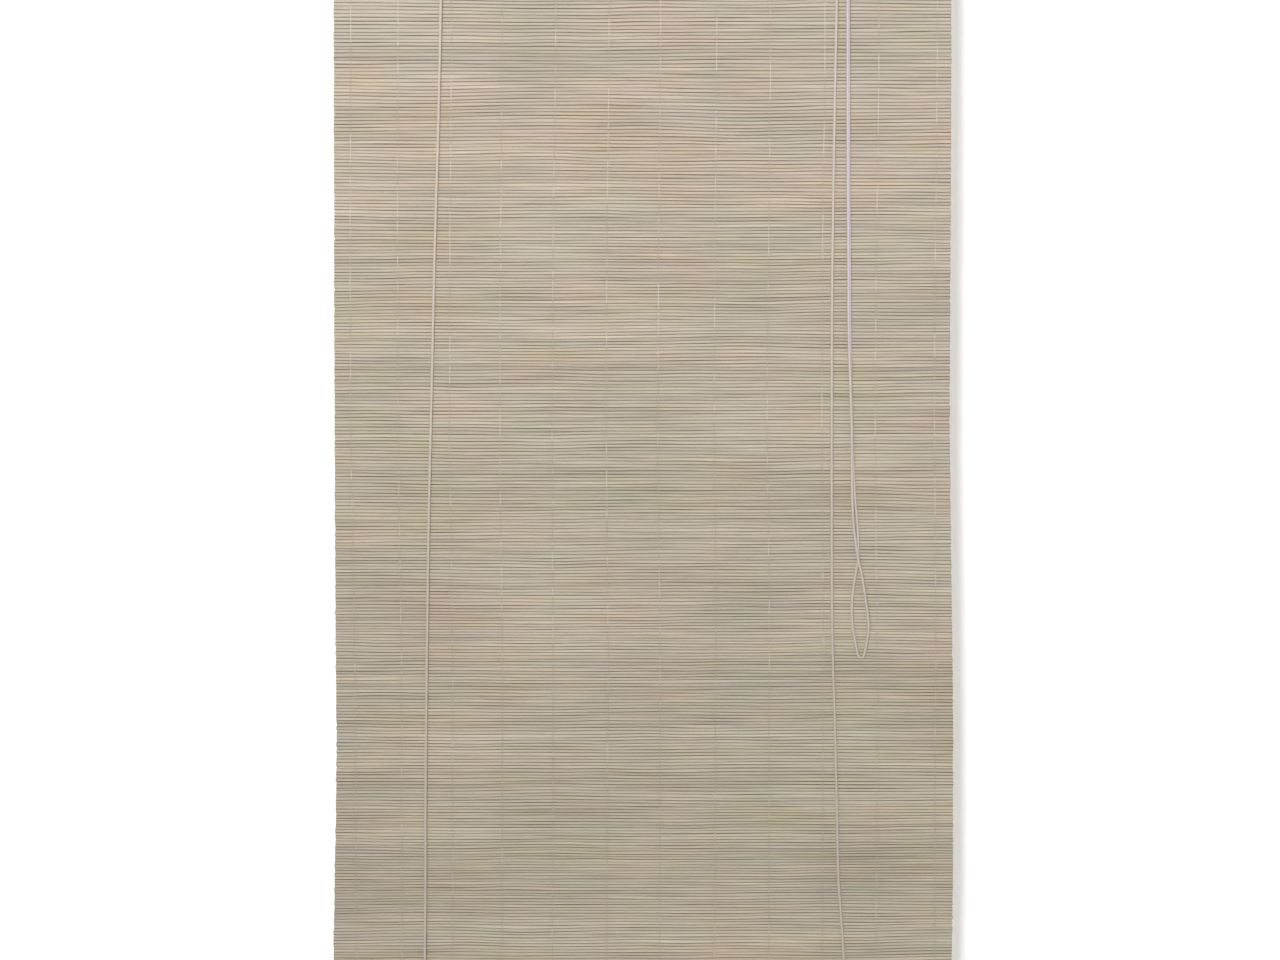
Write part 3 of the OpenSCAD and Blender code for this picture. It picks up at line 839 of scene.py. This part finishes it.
def strand_verts(points):
    out = unit(np.cross(unit(np.gradient(points, axis=0)), ACROSS))
    rings = np.zeros((len(points), THREAD_SIDES, 3))
    for k in range(THREAD_SIDES):
        a = 2 * math.pi * (k + 0.5) / THREAD_SIDES
        rings[:, k] = points + THREAD_CORNER_R * (math.cos(a) * ACROSS + math.sin(a) * out)
    return rings.reshape(-1, 3)


def thread_mesh(first, last):
    verts, faces, tones = [], [], []
    start = 0
    for line, shows in zip(warp_lines, warp_shows):
        at = int(np.clip(round((line.mean() / BLIND_W + 0.5) * (NX - 1)), 0, NX - 1))
        show = np.append(np.repeat(shows[first:last], len(BULGE)), shows[last])[:, None]
        for strand in (0, 1):
            points = strand_points(line, at, strand, first, last)
            verts.append(strand_verts(points))
            faces += tube_faces(len(points), THREAD_SIDES, start, caps=False)
            start += len(points) * THREAD_SIDES
            # Painted light falloff: threads are painted darker lower down.
            tone = (THREAD_DULL * (1 - show) + THREAD_BRIGHT * show) * painted_falloff(points[:, 2])[:, None]
            tones.append(np.repeat(tone, THREAD_SIDES, axis=0))
    return np.vstack(verts), faces, np.vstack(tones)


# Bands follow the CAD: each is a layer of the finished roll, from its back to its front

CORE_SHARE = 0.208  # of the roll's radius, and so is a layer
LAYER_SHARE = 0.087
LAYERS = 9
side_shares = [math.sqrt(1 - (CORE_SHARE + i * LAYER_SHARE) ** 2) for i in range(LAYERS)]
band_shares = side_shares[::-1] + [(1 - CORE_SHARE) / 2] * 2 + side_shares
rolled_slats = SLATS - FLAT_SLATS
firsts = [FLAT_SLATS + int(math.floor(rolled_slats * sum(band_shares[:b]) / sum(band_shares) + 0.5))
          for b in range(len(band_shares) + 1)]


def gather(piece, centre):
    """Gives the piece a mesh of its own."""
    centre = Vector(centre) * MM
    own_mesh(piece)


def mat_stretch(node, first, last):
    """The slats of one CAD node, and the warp threads along them."""
    verts, faces, smooth, tone = slat_mesh(first, last)
    slats = mesh_object(node + "_bamboo", verts, faces, BAMBOO, smooth=smooth, tone=tone)
    fit(slats, "blind", "bamboo", node)
    verts, faces, tone = thread_mesh(first, last)
    threads = mesh_object(node + "_threads", verts, faces, THREAD, tone=tone)
    fit(threads, "blind", "cotton", *WARP_NODES)
    return slats, threads


mat_stretch("top_slats", 0, FLAT_SLATS)
for b in range(len(band_shares)):
    first = firsts[b]
    last = firsts[b + 1]
    band_mid = (0, MAT_MID, (row_z[first] + row_z[last]) / 2)
    for piece in mat_stretch("slat_band_%02d" % (b + 1), first, last):
        gather(piece, band_mid)

# Lashings of thread round the bottom rod
LASH_R = 0.36
LASH_SIDES = 6
LASH_POINTS = 25
LASH_APART = 0.5
lash_verts = []
lash_faces = []
angle = np.linspace(0, 2 * math.pi, LASH_POINTS)
lash_y = MAT_MID + (ROD_R + LASH_R) * np.cos(angle)
lash_z = ROD_Z + (ROD_R + LASH_R) * np.sin(angle)
for line in warp_lines:
    for shift in (-LASH_APART, LASH_APART):
        lash_x = np.full(LASH_POINTS, line[-1] + shift)
        verts, _ = tube_data(np.stack([lash_x, lash_y, lash_z], axis=1), LASH_R, LASH_SIDES, (1, 0, 0))
        lash_faces += tube_faces(LASH_POINTS, LASH_SIDES, len(lash_verts) * len(verts))
        lash_verts.append(verts)
lash_verts = np.vstack(lash_verts)
lash_tone = np.tile(THREAD_BRIGHT, (len(lash_verts), 1))
lash = mesh_object("rod_lashing_threads", lash_verts, lash_faces, THREAD, tone=lash_tone)
fit(lash, "bottom_rod", "cotton", "rod_lashings")

# CAD pieces that keep their shape
for material, names in (
    (PINE, ("head_rail", "front_batten", "bottom_rod")),
    (STEEL, ("left_hanger_plate", "right_hanger_plate", "hanger_screws", "batten_screws", "bracket_screws",
             "left_pulley_bracket", "left_axle", "lock_housing", "lock_axle", "lock_cam", "lock_cam_pin",
             "cord_eyes")),
    (NYLON, ("left_sheave", "lock_rear_sheave", "lock_front_sheave")),
):
    for name in names:
        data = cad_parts[name].data
        data.materials.clear()
        data.materials.append(material)


# Stage, in metres: a white wall behind, seen only from the front, and a pale floor

STAGE = 9
WALL_Y = 0.082
WALL_TOP = 7
FLOOR_Z = -1.95
FLOOR_GLOW = 0.68
WORLD_LIGHT = 0.3


def plane(name, corners, material):
    mesh = bpy.data.meshes.new(name)
    mesh.from_pydata(corners, [], [(0, 1, 2, 3)])
    mesh.materials.append(material)
    new_object(name, mesh)


def wall_material():
    """White, and clear from behind and for the light of lamps behind it."""
    material, tree, shader = new_material("wall")
    shader.inputs["Base Color"].default_value = (1, 1, 1, 1)
    shader.inputs["Roughness"].default_value = 1.0
    shader.inputs["Specular IOR Level"].default_value = 0.0
    behind = add(tree, "ShaderNodeNewGeometry").outputs["Backfacing"]
    shadow = add(tree, "ShaderNodeLightPath").outputs["Is Shadow Ray"]
    clear = add(tree, "ShaderNodeBsdfTransparent")
    mix = add(tree, "ShaderNodeMixShader")
    link(tree, combine(tree, "MAXIMUM", behind, shadow), mix.inputs[0])
    link(tree, shader.outputs[0], mix.inputs[1])
    link(tree, clear.outputs[0], mix.inputs[2])
    link(tree, mix.outputs[0], tree.nodes["Material Output"].inputs["Surface"])
    return material


def floor_material():
    """Grey for the light, and white where it shows."""
    material, tree, shader = new_material("floor")
    shader.inputs["Base Color"].default_value = (0.5, 0.5, 0.5, 1)
    shader.inputs["Roughness"].default_value = 0.9
    shader.inputs["Emission Color"].default_value = (1, 1, 1, 1)
    glow = remap(tree, seen(tree), low=0, high=FLOOR_GLOW, from_low=0, from_high=1)
    link(tree, glow, shader.inputs["Emission Strength"])
    return material


plane("wall", [(-STAGE, WALL_Y, FLOOR_Z), (STAGE, WALL_Y, FLOOR_Z),
               (STAGE, WALL_Y, WALL_TOP), (-STAGE, WALL_Y, WALL_TOP)], wall_material())
plane("floor", [(-STAGE, -STAGE, FLOOR_Z), (STAGE, -STAGE, FLOOR_Z),
                (STAGE, STAGE, FLOOR_Z), (-STAGE, STAGE, FLOOR_Z)], floor_material())

# Studio lamps: two near the camera, the key left of it, and a broad one behind and above the blind.
# Each has its strength, its spread in degrees and the direction towards it.
LAMPS = (
    ("key", 1.4, 9, (-0.2285, -0.964, 0.17)),
    ("fill", 0.93, 10, (0, -0.99, 0.12)),
    ("back", 1.9, 40, (0.35, 0.8, 0.5)),
)
for name, energy, spread, toward in LAMPS:
    light_data = bpy.data.lights.new(name, "SUN")
    light_data.energy = energy
    light_data.angle = math.radians(spread)
    lamp = new_object(name, light_data)
    lamp.rotation_euler = Vector(toward).to_track_quat("Z", "Y").to_euler()

world = bpy.data.worlds.new("world")
bpy.context.scene.world = world
world.use_nodes = True
tree = world.node_tree
background = tree.nodes["Background"]
background.inputs["Color"].default_value = (1, 1, 1, 1)
strength_seen = remap(tree, seen(tree), low=WORLD_LIGHT, high=1, from_low=0, from_high=1)
link(tree, strength_seen, background.inputs["Strength"])
